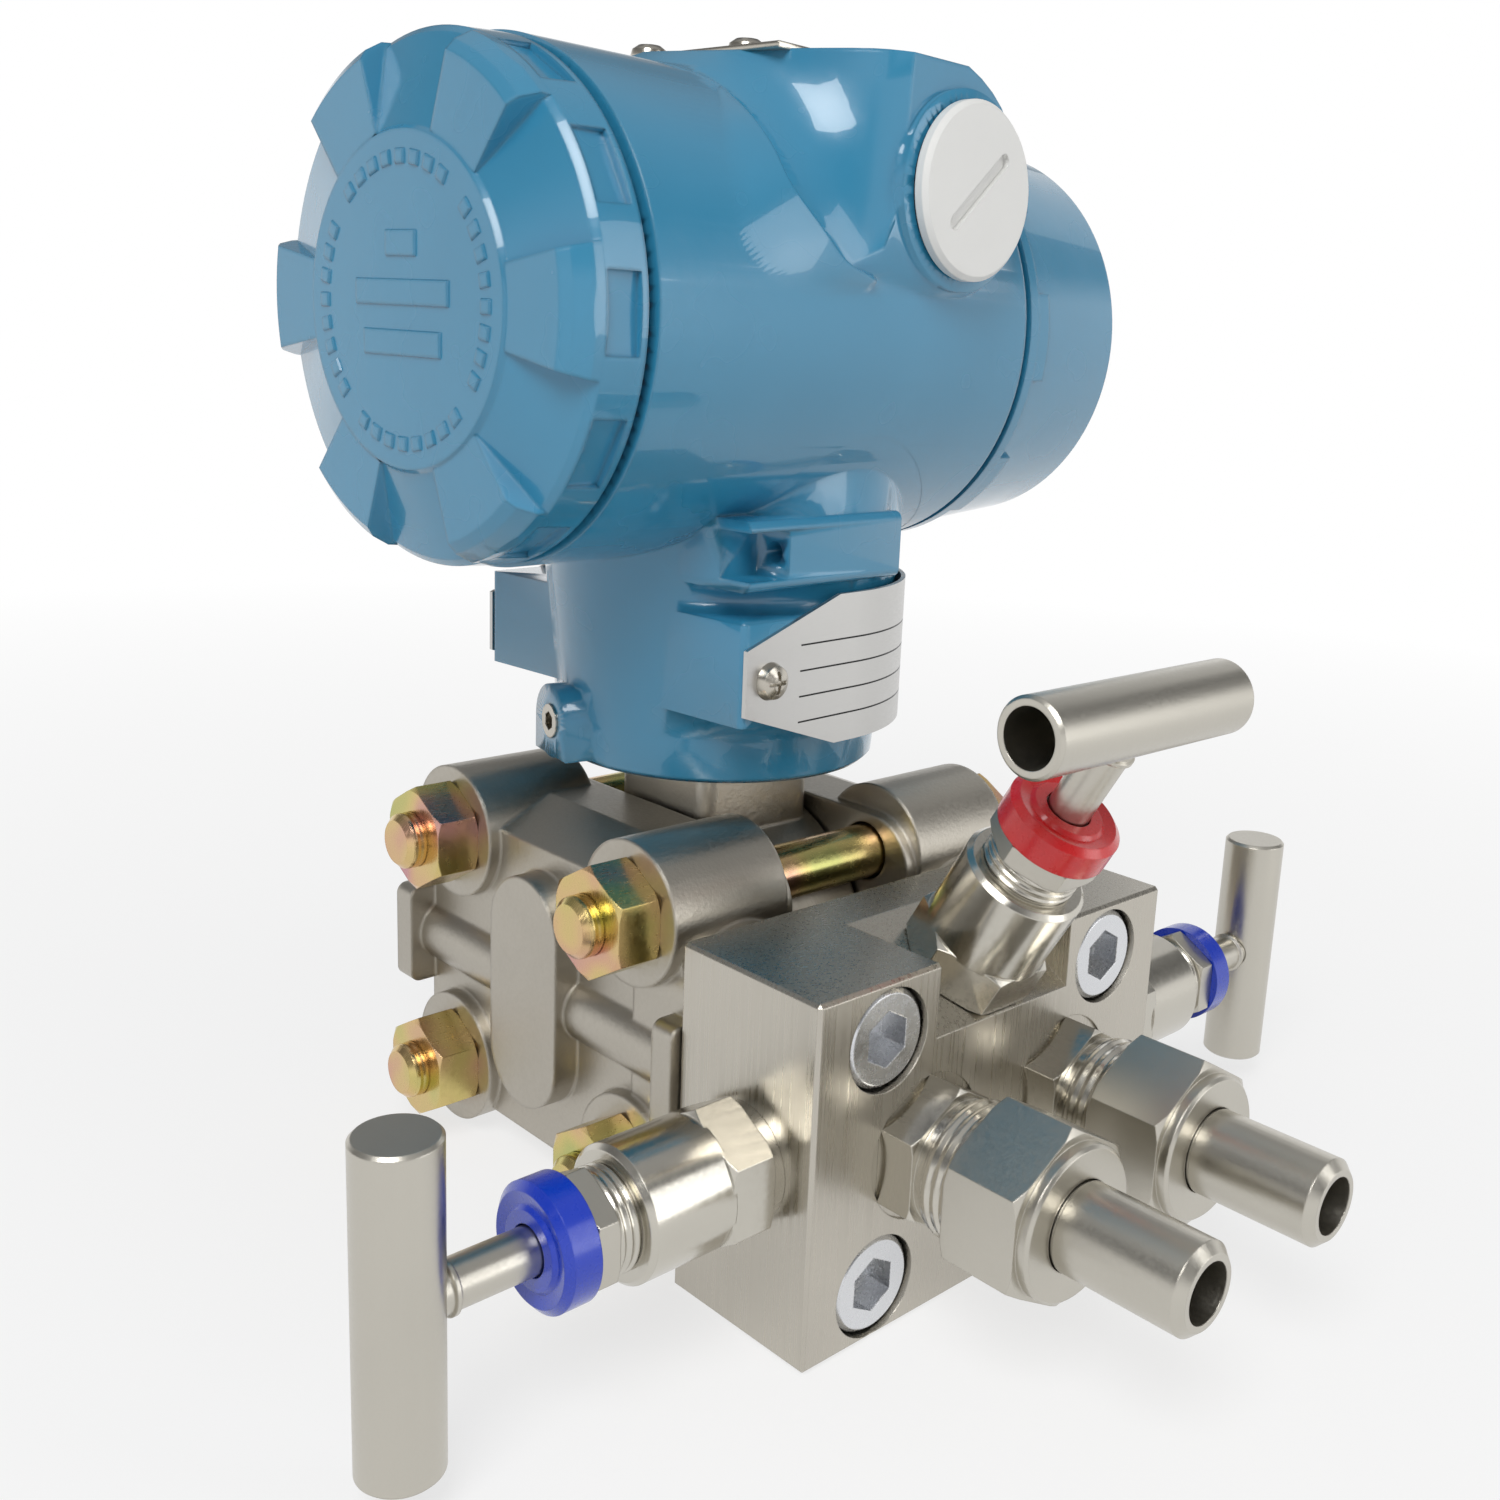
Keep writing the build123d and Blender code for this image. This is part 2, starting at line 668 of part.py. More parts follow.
def make_housing():
    left = -left_gap_x + cover_gap / 2
    right = right_gap_x - cover_gap / 2
    body = along((0, 0, 0), (1, 0, 0)) * rod(housing_r, left, right)
    body += turned((0, lz(neck_bottom)), (neck_low_r - 1, lz(neck_bottom)), (neck_low_r, lz(neck_bottom) + 1),
                   (neck_high_r, lz(neck_high_z)), (neck_high_r, -20), (0, -20))
    pad = block(-top_pad_left, top_pad_right, -top_pad_half_width, top_pad_half_width, 20, top_pad_z)
    body += chamfer(pad.edges().filter_by(Axis.Z), top_pad_corner)
    body += make_ear(right)
    body += mirror(make_ear(right), about=Plane.XZ)
    for side in (-1, 1):
        body += along((conduit_x, 0, conduit_z), (0, side, 0)) * rod(conduit_boss_r - 0.6, 20, conduit_face)
        low = lz(neck_pad_z - neck_pad_height / 2)
        high = lz(neck_pad_z + neck_pad_height / 2)
        pad_y = sorted((side * 8, side * neck_pad_reach))
        pad = block(-neck_pad_left, 1, pad_y[0], pad_y[1], low, high)
        body += fillet(pad.edges().filter_by(Axis.Z), 1.0)
    band_low = lz(band_z - band_height / 2)
    band_high = lz(band_z + band_height / 2)
    band = block(-band_left, band_right, -band_reach, -8, band_low, band_high)
    body += fillet(band.edges().filter_by(Axis.X), 1.5)
    turn = math.radians(lock_angle)
    lock_axis = (math.cos(turn), math.sin(turn), 0)
    body += along((0, 0, lz(lock_z)), lock_axis) * rod(lock_boss_r, 20, lock_reach)
    foot = block(20, lock_reach, -lock_boss_r, lock_boss_r, lz(neck_bottom) + 1, lz(lock_z))
    body += Rot(0, 0, lock_angle) * foot
    body -= along((0, 0, 0), (1, 0, 0)) * rod(housing_bore_r, left - 1, partition_x)
    body -= along((0, 0, 0), (1, 0, 0)) * rod(housing_bore_r, partition_x + partition_t, right + 1)
    body -= rod(capsule_spigot_r + fit_gap, lz(neck_bottom) - 1, lz(capsule_spigot_top) + part_gap)
    body -= rod(neck_passage_r, lz(neck_bottom), -20)
    body -= along((0, 10, 0), (1, 0, 0)) * rod(5, partition_x - 1, partition_x + partition_t + 1)
    for side in (-1, 1):
        tap = rod(conduit_thread_r + thread_gap, 20, conduit_face + 1)
        body -= along((conduit_x, 0, conduit_z), (0, side, 0)) * tap
    wall_x = -band_left + pocket_length
    pocket = block(-band_left - 1, wall_x, -band_reach - 1, -band_reach + pocket_depth,
                   band_low + band_lip, band_high - band_lip)
    body -= fillet(pocket.edges().filter_by(Axis.Y), 1.0)
    body -= along((wall_x, -band_reach + pocket_depth / 2, lz(band_z)), (1, 0, 0)) * rod(ground_hole_r, -1, 8)
    lock_hole = rod(lock_screw_r + thread_gap, capsule_spigot_r - 1, lock_reach + 1)
    body -= along((0, 0, lz(lock_z)), lock_axis) * lock_hole
    return body


def make_plug():
    plug = turned(
        (0, conduit_face - plug_stub), (conduit_thread_r, conduit_face - plug_stub),
        (conduit_thread_r, conduit_face + plug_gasket), (plug_head_r, conduit_face + plug_gasket),
        (plug_head_r, conduit_face + plug_head - 0.8), (plug_head_r - 0.8, conduit_face + plug_head),
        (0, conduit_face + plug_head),
    )
    slot = Rot(0, 0, 30) * SlotOverall(plug_head_r * 1.3, plug_slot)
    return plug - Pos(0, 0, conduit_face + plug_head - 1) * extrude(slot, 2)


def make_plug_gasket():
    return ring(conduit_thread_r + thread_gap, conduit_boss_r - 3, conduit_face, conduit_face + plug_gasket)


def conduit_place(side):
    return housing_place * along((conduit_x, 0, conduit_z), (0, side, 0))


def top_plate_left(index):
    return -top_plate_start + index * (top_plate_length + top_plate_gap)


def make_top_plates():
    plates = []
    half = top_plate_width / 2
    for index in range(2):
        x0 = top_plate_left(index)
        plates.append(block(x0, x0 + top_plate_length, -half, half, top_pad_z, top_pad_z + plate_t))
    return plates


def cross_screw(base):
    head = turned((0, base), (cross_screw_r, base), (cross_screw_r * 0.86, base + cross_screw_h * 0.65),
                  (cross_screw_r * 0.4, base + cross_screw_h * 0.96), (0, base + cross_screw_h))
    arm = cross_screw_r * 0.6
    floor = base + cross_screw_h * 0.55
    roof = base + cross_screw_h + 1
    return head - block(-arm, arm, -0.35, 0.35, floor, roof) - block(-0.35, 0.35, -arm, arm, floor, roof)


def make_top_plate_screws():
    screw = cross_screw(top_pad_z + plate_t)
    return [Pos(top_plate_left(i) + top_screw_inset, 0, 0) * screw for i in range(2)]


def make_nameplate():
    reach = neck_pad_reach
    tip = -neck_pad_left
    end = nameplate_tip / 2
    half = nameplate_height / 2
    run = -nameplate_flat
    flat = Polyline((tip, -end), (run, -half), (reach + 2, -half), (reach + 2, half), (run, half),
                    (tip, end), close=True)
    side = Plane(origin=(0, 0, 0), x_dir=(1, 0, 0), z_dir=(0, -1, 0))
    blank = side.location * extrude(make_face(flat), 50, both=True)
    outer = Circle(reach + plate_t) + Pos(tip / 2 - 20, 0) * Rectangle(-tip + 40, 2 * (reach + plate_t))
    inner = Circle(reach) + Pos(tip / 2 - 25, 0) * Rectangle(-tip + 50, 2 * reach)
    wrap = Pos(0, 0, -half) * extrude(outer - inner, nameplate_height)
    return Pos(0, 0, lz(neck_pad_z - nameplate_drop)) * (wrap & blank)


def make_nameplate_screws():
    screw = cross_screw(neck_pad_reach + plate_t)
    screw_x = nameplate_screw_inset - neck_pad_left
    height = lz(neck_pad_z - nameplate_drop)
    return [along((screw_x, 0, height), (0, s, 0)) * screw for s in (-1, 1)]


def make_lock_screw():
    turn = math.radians(lock_angle)
    place = along((0, 0, lz(lock_z)), (math.cos(turn), math.sin(turn), 0))
    socket = extrude(RegularPolygon(1.5, 6, major_radius=False), 4)
    start = capsule_spigot_r + fit_gap + 0.2
    return place * (rod(lock_screw_r, start, lock_reach + 0.4) - Pos(0, 0, lock_reach - 1.6) * socket)


def make_left_cover():
    z0 = cover_gap / 2
    face = left_total
    body = turned(
        (0, left_total - left_wall), (cover_bore_r, left_rim - 2), (cover_bore_r, -spigot_length),
        (housing_bore_r - part_gap, -spigot_length), (housing_bore_r - part_gap, z0), (cover_r, z0),
        (cover_r - 0.4, left_rim - 1), (cover_r - 1.4, left_rim), (left_face_r, face - 0.8),
        (left_face_r - 0.6, face), (0, face),
    )
    wedge = Polyline((left_face_r - 2, -lobe_inner / 2), (cover_r, -lobe_outer / 2), (cover_r, lobe_outer / 2),
                     (left_face_r - 2, lobe_inner / 2), close=True)
    base = left_rim - 4
    lobe = Pos(0, 0, base) * extrude(make_face(wedge), face - 0.4 - base, taper=lobe_draft)
    crest = turned(
        (0, base), (cover_r - 0.3, base), (cover_r - 0.5, left_rim + 0.6), (lobe_crest_r, left_rim + 3.4),
        (lobe_crest_r - 1.6, face - 0.4), (0, face - 0.4),
    )
    lobe = lobe & crest
    pocket = block(cover_r - rim_pocket_depth, cover_r + 3, -rim_pocket_width / 2, rim_pocket_width / 2,
                   rim_pocket_start, rim_pocket_start + rim_pocket_length)
    for i in range(lobe_count):
        body += Rot(0, 0, (i + 0.5) * 360 / lobe_count) * lobe
    for i in range(2 * lobe_count):
        body -= Rot(0, 0, i * 180 / lobe_count) * pocket
    return body


def make_right_cover():
    z0 = cover_gap / 2
    face = right_total
    floor = face - window_lip
    body = turned(
        (window_r, floor), (glass_r + thread_gap, floor), (glass_r + thread_gap, floor - glass_t - retainer_t),
        (cover_bore_r, floor - glass_t - retainer_t - 1), (cover_bore_r, -spigot_length),
        (housing_bore_r - part_gap, -spigot_length), (housing_bore_r - part_gap, z0), (right_rim_r, z0),
        (right_rim_r, right_rim), (right_root_r, right_rim + 0.4), (right_end_r, face - right_edge),
        (right_end_r - right_edge, face), (window_r + 1, face), (window_r, face - 1),
    )
    lug_end = right_rim + right_lug
    band = ring(right_root_r - 2, right_rim_r - 0.1, right_rim - 1, lug_end)
    for i in range(right_lug_count):
        wedge = block(0, right_rim_r + 1, -right_lug_width / 2, right_lug_width / 2, 0, lug_end + 1)
        body += Rot(0, 0, i * 360 / right_lug_count) * (band & wedge)
    return body


def make_cover_ring():
    return ring(ring_in, ring_out, -ring_t / 2, ring_t / 2)


def make_window_glass():
    floor = right_total - window_lip
    return rod(glass_r, floor - glass_t, floor)


def make_window_retainer():
    floor = right_total - window_lip - glass_t
    return ring(window_r, glass_r, floor - retainer_t, floor)


def terminal_x(index):
    return (index - (terminal_count - 1) / 2) * terminal_pitch


terminal_place = along((0, 0, 0), (1, 0, 0), (0, 1, 0))


def make_terminal_block():
    face = partition_x - terminal_t
    body = rod(terminal_r, face, partition_x)
    half = terminal_slot_width / 2
    for i in range(terminal_count):
        x = terminal_x(i)
        body -= block(x - half, x + half, terminal_screw_y - 8, terminal_screw_y + 8,
                      face - 1, face + terminal_slot_depth)
    return terminal_place * body


def make_terminal_screws():
    seat = partition_x - terminal_t + terminal_slot_depth
    head = rod(terminal_screw_r, seat - terminal_screw_h, seat)
    head -= block(-terminal_screw_r, terminal_screw_r, -0.5, 0.5, seat - terminal_screw_h - 1,
                  seat - terminal_screw_h + 0.8)
    return [terminal_place * (Pos(terminal_x(i), terminal_screw_y, 0) * head) for i in range(terminal_count)]


def make_electronics_board():
    floor = partition_x + partition_t
    board = rod(board_r, floor + board_stand, floor + board_stand + board_t)
    for i in range(3):
        turn = math.radians(120 * i + 90)
        post = rod(3, floor, floor + board_stand + board_t)
        board += Pos(24 * math.cos(turn), 24 * math.sin(turn), 0) * post
    return along((0, 0, 0), (1, 0, 0)) * board


def make_display_module():
    start = partition_x + partition_t + board_stand + board_t
    body = rod(display_r, start, start + display_length)
    return along((0, 0, 0), (1, 0, 0)) * body


save("manifold_block", make_manifold_block())
save("manifold_bolts", make_manifold_bolts())
save("manifold_seals", make_manifold_seals())

for side, sign in (("left", -1), ("right", 1)):
    coupling = along((sign * inlet_pitch / 2, 0, 0), (0, -1, 0))
    save(side + "_inlet_fitting", coupling * make_inlet_fitting())
    save(side + "_union_nut", coupling * make_union_nut())
    save(side + "_weld_nipple", coupling * make_weld_nipple())

for name in valve_places:
    place = valve_location(name)
    save(name + "_valve_bonnet", place * make_bonnet())
    save(name + "_valve_packing", place * make_packing())
    save(name + "_valve_gland", place * make_gland())
    save(name + "_valve_cap", place * make_cap())
    save(name + "_valve_needle", place * make_needle())
    save(name + "_valve_stem", place * make_stem())
    save(name + "_valve_handle", place * make_handle())

save("left_flange", make_flange())
save("right_flange", mirrored(make_flange()))
save("flange_bolts", make_flange_bolts())
save("flange_nuts", make_flange_nuts())
save("flange_seals", make_flange_seals())
save("vent_plugs", make_vent_plugs())
save("bleed_screws", make_bleed_screws())
save("sensor_capsule", make_capsule())
save("diaphragms", make_diaphragms())

save("housing", housing_place * make_housing())
save("front_conduit_plug", conduit_place(-1) * make_plug())
save("rear_conduit_plug", conduit_place(1) * make_plug())
save("plug_gaskets", group(*[conduit_place(s) * make_plug_gasket() for s in (-1, 1)]))
save("top_plates", group(*[housing_place * plate for plate in make_top_plates()]))
save("top_plate_screws", group(*[housing_place * screw for screw in make_top_plate_screws()]))
save("nameplate", housing_place * make_nameplate())
save("nameplate_screws", group(*[housing_place * screw for screw in make_nameplate_screws()]))
save("lock_screw", housing_place * make_lock_screw())
save("terminal_block", housing_place * make_terminal_block())
save("terminal_screws", group(*[housing_place * screw for screw in make_terminal_screws()]))
save("electronics_board", housing_place * make_electronics_board())
save("display_module", housing_place * make_display_module())

save("left_cover", left_place * make_left_cover())
save("left_cover_ring", left_place * make_cover_ring())
save("right_cover", right_place * make_right_cover())
save("right_cover_ring", right_place * make_cover_ring())
save("window_glass", right_place * make_window_glass())
save("window_retainer", right_place * make_window_retainer())
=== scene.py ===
import bmesh
import bpy
import json
import math
from mathutils import Matrix, Vector


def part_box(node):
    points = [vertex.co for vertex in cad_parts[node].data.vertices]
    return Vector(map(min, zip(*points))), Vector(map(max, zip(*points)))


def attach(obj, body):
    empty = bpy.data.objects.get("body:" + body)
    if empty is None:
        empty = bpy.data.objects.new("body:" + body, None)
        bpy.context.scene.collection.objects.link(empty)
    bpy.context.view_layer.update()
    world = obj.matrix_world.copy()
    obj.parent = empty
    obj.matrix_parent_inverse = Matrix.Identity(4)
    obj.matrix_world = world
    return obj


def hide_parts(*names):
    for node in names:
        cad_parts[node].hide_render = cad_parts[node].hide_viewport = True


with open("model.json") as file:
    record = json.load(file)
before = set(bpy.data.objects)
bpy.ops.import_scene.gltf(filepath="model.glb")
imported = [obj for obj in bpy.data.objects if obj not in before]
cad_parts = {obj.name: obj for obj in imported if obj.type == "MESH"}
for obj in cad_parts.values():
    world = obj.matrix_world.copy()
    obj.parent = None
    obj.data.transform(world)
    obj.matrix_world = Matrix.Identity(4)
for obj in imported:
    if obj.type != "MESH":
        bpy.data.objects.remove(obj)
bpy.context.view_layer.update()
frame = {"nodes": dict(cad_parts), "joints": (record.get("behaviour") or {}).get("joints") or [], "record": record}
nodes = frame["nodes"]
slot_of = {part["node"]: part["material_slot"] for part in frame["record"]["subparts"]}
mm = 0.001

# Camera, fitted to the photograph: direction, roll, lens and place in metres
camera_azimuth = -45.4412
camera_elevation = 12.9726
camera_roll = 3.0427
focal_px = 1584.374
photo_px = 1500
sensor_mm = 36
centre_px = (850, 700)
camera_place = (-0.189706, -0.185310, 0.152741)


def make_camera():
    a, e, r = (math.radians(v) for v in (camera_azimuth, camera_elevation, camera_roll))
    back = Vector((math.sin(a) * math.cos(e), -math.cos(a) * math.cos(e), math.sin(e)))
    right = (-back).cross(Vector((0, 0, 1))).normalized()
    up = right.cross(-back)
    x_axis = math.cos(r) * right + math.sin(r) * up
    y_axis = -math.sin(r) * right + math.cos(r) * up
    data = bpy.data.cameras.new("camera")
    data.sensor_width = sensor_mm
    data.lens = focal_px / photo_px * sensor_mm
    data.shift_x = 0.5 - centre_px[0] / photo_px
    data.shift_y = centre_px[1] / photo_px - 0.5
    data.clip_start = 0.01
    data.clip_end = 20
    camera = bpy.data.objects.new("camera", data)
    turn = Matrix((x_axis, y_axis, back)).transposed().to_4x4()
    camera.matrix_world = Matrix.Translation(camera_place) @ turn
    bpy.context.scene.collection.objects.link(camera)
    bpy.context.scene.camera = camera


class Shader:
    """A node tree under construction, with short calls for the nodes that the materials share."""

    def __init__(self, name):
        self.material = bpy.data.materials.new(name)
        self.material.use_nodes = True
        self.tree = self.material.node_tree
        self.surface = self.tree.nodes["Principled BSDF"]

    def node(self, kind, **values):
        made = self.tree.nodes.new("ShaderNode" + kind)
        for key, value in values.items():
            setattr(made, key, value)
        return made

    def link(self, source, target):
        self.tree.links.new(source, target)

    def set(self, **values):
        for key, value in values.items():
            socket = self.surface.inputs[key.replace("_", " ")]
            socket.default_value = (*value, 1) if key == "Base_Color" else value

    def place(self, stretch=(1, 1, 1)):
        coordinates = self.node("TexCoord")
        mapping = self.node("Mapping")
        mapping.inputs["Scale"].default_value = stretch
        self.link(coordinates.outputs["Object"], mapping.inputs["Vector"])
        return mapping.outputs["Vector"]

    def noise(self, scale, detail=2.0, stretch=(1, 1, 1)):
        made = self.node("TexNoise")
        made.inputs["Scale"].default_value = scale
        made.inputs["Detail"].default_value = detail
        self.link(self.place(stretch), made.inputs["Vector"])
        return made.outputs["Fac"]

    def ramp(self, source, stops):
        made = self.node("ValToRGB")
        band = made.color_ramp
        while len(band.elements) < len(stops):
            band.elements.new(0.5)
        for element, (position, colour) in zip(band.elements, stops):
            element.position = position
            element.color = (*colour, 1)
        self.link(source, made.inputs["Fac"])
        return made.outputs["Color"]

    def spread(self, source, low, high):
        made = self.node("MapRange")
        made.inputs["To Min"].default_value = low
        made.inputs["To Max"].default_value = high
        made.inputs["From Min"].default_value = 0.3
        made.inputs["From Max"].default_value = 0.7
        self.link(source, made.inputs["Value"])
        return made.outputs["Result"]

    def soft_edges(self, radius):
        made = self.node("Bevel", samples=4)
        made.inputs["Radius"].default_value = radius
        return made.outputs["Normal"]

    def bump(self, source, strength, distance, before=None):
        made = self.node("Bump")
        made.inputs["Strength"].default_value = strength
        made.inputs["Distance"].default_value = distance
        self.link(source, made.inputs["Height"])
        if before is not None:
            self.link(before, made.inputs["Normal"])
        return made.outputs["Normal"]

    def finish(self, colour=None, rough=None, normal=None):
        for source, name in ((colour, "Base Color"), (rough, "Roughness"), (normal, "Normal")):
            if source is not None:
                self.link(source, self.surface.inputs[name])
        return self.material


def tinted(colour, factor):
    return tuple(min(1.0, channel * factor) for channel in colour)


def metal(name, colour, rough, grain, grain_scale, stretch=(1, 1, 1), depth=0.00003, vary=0.03, edge=0.0003):
    """Bare metal: slow changes of tone, with a fine grain in its gloss and surface."""
    s = Shader(name)
    s.set(Metallic=1.0)
    lines = s.noise(grain_scale, 3.0, stretch)
    clouds = s.noise(45, 3.0)
    tone = s.ramp(clouds, [(0.3, tinted(colour, 1 - vary)), (0.7, tinted(colour, 1 + vary))])
    gloss = s.spread(lines, rough - grain, rough + grain)
    return s.finish(tone, gloss, s.bump(lines, 0.35, depth, s.soft_edges(edge)))


def blue_paint():
    """Glossy paint over a casting, with a fine peel and soft lumps."""
    s = Shader("blue_paint")
    s.set(Metallic=0.0, Coat_Weight=0.8, Coat_Roughness=0.03, Specular_IOR_Level=0.5)
    clouds = s.noise(30, 2.0)
    tone = s.ramp(clouds, [(0.3, (0.026, 0.222, 0.385)), (0.7, (0.034, 0.243, 0.415))])
    peel = s.noise(420, 1.0)
    lumps = s.noise(70, 2.0)
    normal = s.bump(peel, 0.22, 0.00012, s.bump(lumps, 0.18, 0.0004, s.soft_edges(0.0009)))
    return s.finish(tone, s.spread(lumps, 0.20, 0.30), normal)


def yellow_zinc():
    """Zinc with its thin passivation film: gold, drifting to green and pink."""
    s = Shader("yellow_zinc")
    s.set(Metallic=1.0)
    film = s.noise(85, 1.0)
    tone = s.ramp(film, [
        (0.30, (0.50, 0.50, 0.18)), (0.42, (0.63, 0.52, 0.20)), (0.52, (0.68, 0.49, 0.23)),
        (0.62, (0.66, 0.40, 0.26)), (0.74, (0.58, 0.31, 0.32)),
    ])
    scratch = s.noise(700, 3.0, (1, 5, 1))
    return s.finish(tone, s.spread(scratch, 0.16, 0.30), s.bump(scratch, 0.25, 0.00003, s.soft_edges(0.0003)))


def plastic(name, colour, rough, coat=0.0, vary=0.02):
    s = Shader(name)
    s.set(Metallic=0.0, Coat_Weight=coat, Coat_Roughness=0.15)
    clouds = s.noise(40, 2.0)
    fine = s.noise(700, 2.0)
    tone = s.ramp(clouds, [(0.3, tinted(colour, 1 - vary)), (0.7, tinted(colour, 1 + vary))])
    normal = s.bump(fine, 0.04, 0.00002, s.soft_edges(0.0003))
    return s.finish(tone, s.spread(fine, rough - 0.04, rough + 0.04), normal)


# Printed lines of the nameplate: heights above its lower edge and thickness in mm, left margin in metres
line_heights = (5.0, 9.4, 13.8, 18.2)
line_thickness = 0.30
line_start = -0.012


def nameplate(low):
    """Satin steel plate with four printed lines, ruled as on a form."""
    s = Shader("plate")
    s.set(Metallic=1.0)
    grain = s.noise(60, 3.0, (12, 12, 60))
    split = s.node("SeparateXYZ")
    s.link(s.place(), split.inputs["Vector"])
    printed = None
    for height in line_heights:
        band = s.node("Math", operation="COMPARE")
        s.link(split.outputs["Z"], band.inputs[0])
        band.inputs[1].default_value = low + height * mm
        band.inputs[2].default_value = line_thickness / 2 * mm
        if printed is None:
            printed = band.outputs["Value"]
            continue
        both = s.node("Math", operation="MAXIMUM")
        s.link(printed, both.inputs[0])
        s.link(band.outputs["Value"], both.inputs[1])
        printed = both.outputs["Value"]
    inside = s.node("Math", operation="GREATER_THAN")
    s.link(split.outputs["X"], inside.inputs[0])
    inside.inputs[1].default_value = line_start
    masked = s.node("Math", operation="MULTIPLY")
    s.link(printed, masked.inputs[0])
    s.link(inside.outputs["Value"], masked.inputs[1])
    tone = s.ramp(masked.outputs["Value"], [(0.0, (0.56, 0.555, 0.54)), (1.0, (0.03, 0.03, 0.03))])
    return s.finish(tone, s.spread(grain, 0.28, 0.40), s.bump(grain, 0.2, 0.00002))


def window():
    s = Shader("window")
    s.set(Metallic=0.0, Transmission_Weight=1.0, IOR=1.5, Base_Color=(0.93, 0.97, 0.98))
    smear = s.noise(25, 3.0)
    return s.finish(None, s.spread(smear, 0.0, 0.04), None)


def make_materials():
    steel = (0.52, 0.49, 0.43)
    cast = (0.46, 0.43, 0.375)
    polished = (0.57, 0.545, 0.485)
    satin = (0.55, 0.525, 0.465)
    return {
        "blue_paint": blue_paint(),
        "cast_stainless": metal("cast_stainless", cast, 0.38, 0.06, 1500, depth=0.00012, edge=0.001),
        "bar_stainless": metal("bar_stainless", steel, 0.30, 0.08, 30, (60, 60, 1)),
        "polished_stainless": metal(
            "polished_stainless", polished, 0.20, 0.04, 1200, depth=0.00002, vary=0.02,
        ),
        "yellow_zinc": yellow_zinc(),
        "silver_zinc": metal("silver_zinc", (0.70, 0.71, 0.73), 0.26, 0.06, 900),
        "satin_steel": metal("satin_steel", satin, 0.32, 0.04, 1800, vary=0.02),
        "blue_plastic": plastic("blue_plastic", (0.003, 0.038, 0.500), 0.28, 0.5),
        "red_plastic": plastic("red_plastic", (0.640, 0.007, 0.010), 0.28, 0.5),
        "white_plastic": plastic("white_plastic", (0.78, 0.78, 0.76), 0.45, 0.1),
        "black_rubber": plastic("black_rubber", (0.012, 0.012, 0.014), 0.55),
        "white_packing": plastic("white_packing", (0.80, 0.79, 0.76), 0.55),
        "foil": metal("foil", steel, 0.18, 0.04, 900),
        "plate": nameplate(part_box("nameplate")[0][2]),
        "screw_steel": metal("screw_steel", steel, 0.22, 0.05, 900),
        "board": plastic("board", (0.010, 0.090, 0.035), 0.40, 0.4),
        "dark_plastic": plastic("dark_plastic", (0.020, 0.021, 0.024), 0.45),
        "screw_brass": metal("screw_brass", (0.75, 0.55, 0.25), 0.25, 0.05, 900),
        "window": window(),
    }


def dress_nodes(materials):
    for name, obj in nodes.items():
        obj.data.materials.clear()
        obj.data.materials.append(materials[slot_of[name]])


# The housing's own frame: millimetres from the middle of its barrel, X along the barrel
housing_middle = (0, 0.03655, 0.1539)
housing_turn = math.radians(3.9)
housing_frame = (
    Matrix.Translation(housing_middle) @ Matrix.Rotation(housing_turn, 4, "Z") @ Matrix.Scale(mm, 4)
)
across = Matrix.Rotation(math.pi / 2, 4, "Y")
barrel_r = 40.03
barrel_inside = 37.0
skin_lift = 0.02
skin_end = 0.2
skin_sides = 360
neck_clear_r = 36.0
boss_x = 11.0
boss_z = 22.5
boss_r = 16.4
boss_bore_r = 9.8
boss_right = 27.0
pad_z = 42.0

# Cutters in the housing's frame: where they start, and how far past the housing they reach
cut_floor = -8.0
cut_half_depth = 50
bore_start = 10
boss_start = 20
past_end = 60
past_barrel = 70

# Sections of a cable boss, front to middle: depth, top left, foot on the barrel (x, z), bottom, top right
boss_sections = (
    (-41.3, -2.4, -5.2, 16.0, 6.4, 11.4),
    (-40.4, -4.2, -6.4, 12.0, 5.6, 12.2),
    (-39.0, -6.2, -12.5, 9.4, 4.8, 13.6),
    (-37.4, -7.7, -17.6, 14.2, 4.4, 15.0),
    (-34.0, -9.6, -21.4, 20.6, 4.0, 18.0),
    (-30.3, -11.2, -21.8, 25.8, 4.0, 20.0),
    (-26.0, -12.9, -21.9, 30.0, 4.0, 23.0),
    (-19.0, -15.2, -22.0, 34.8, 4.0, 25.0),
    (-13.0, -17.0, -23.5, 37.4, 4.0, 26.0),
    (0.0, -21.0, -26.0, 38.6, 4.0, 27.0),
)

# How the curves between the points of a section are pulled
crease_out = 1.2
crease_up = 3.5
under_reach = 9
shoulder_drop = 5

# The swell beside a boss: points of its foot on the barrel and of its crest, from the top down
swell_lines = (
    ((-25.0, -20.7, 34.1), (-23.4, -19.9, 35.4)),
    ((-32.4, -29.1, 27.3), (-25.5, -28.3, 30.8)),
    ((-36.0, -34.7, 19.7), (-25.8, -34.1, 25.5)),
    ((-36.6, -38.1, 11.8), (-25.7, -37.9, 20.3)),
    ((-32.8, -39.3, 6.7), (-20.8, -40.5, 14.0)),
    ((-24.4, -39.7, 4.4), (-15.7, -41.1, 9.5)),
    ((-8.6, -39.5, 5.5), (-7.8, -40.6, 7.1)),
)

# Section of the swell: bulge halfway up, points past the crest (along, down), foot moved out and sunk, root
swell_steps = 8
swell_bulge = 0.3
past_crest = ((0.5, 0.1), (1.6, 1.2), (2.5, 4.5))
foot_out = 0.6
foot_sink = 0.15
root_depth = 1.5


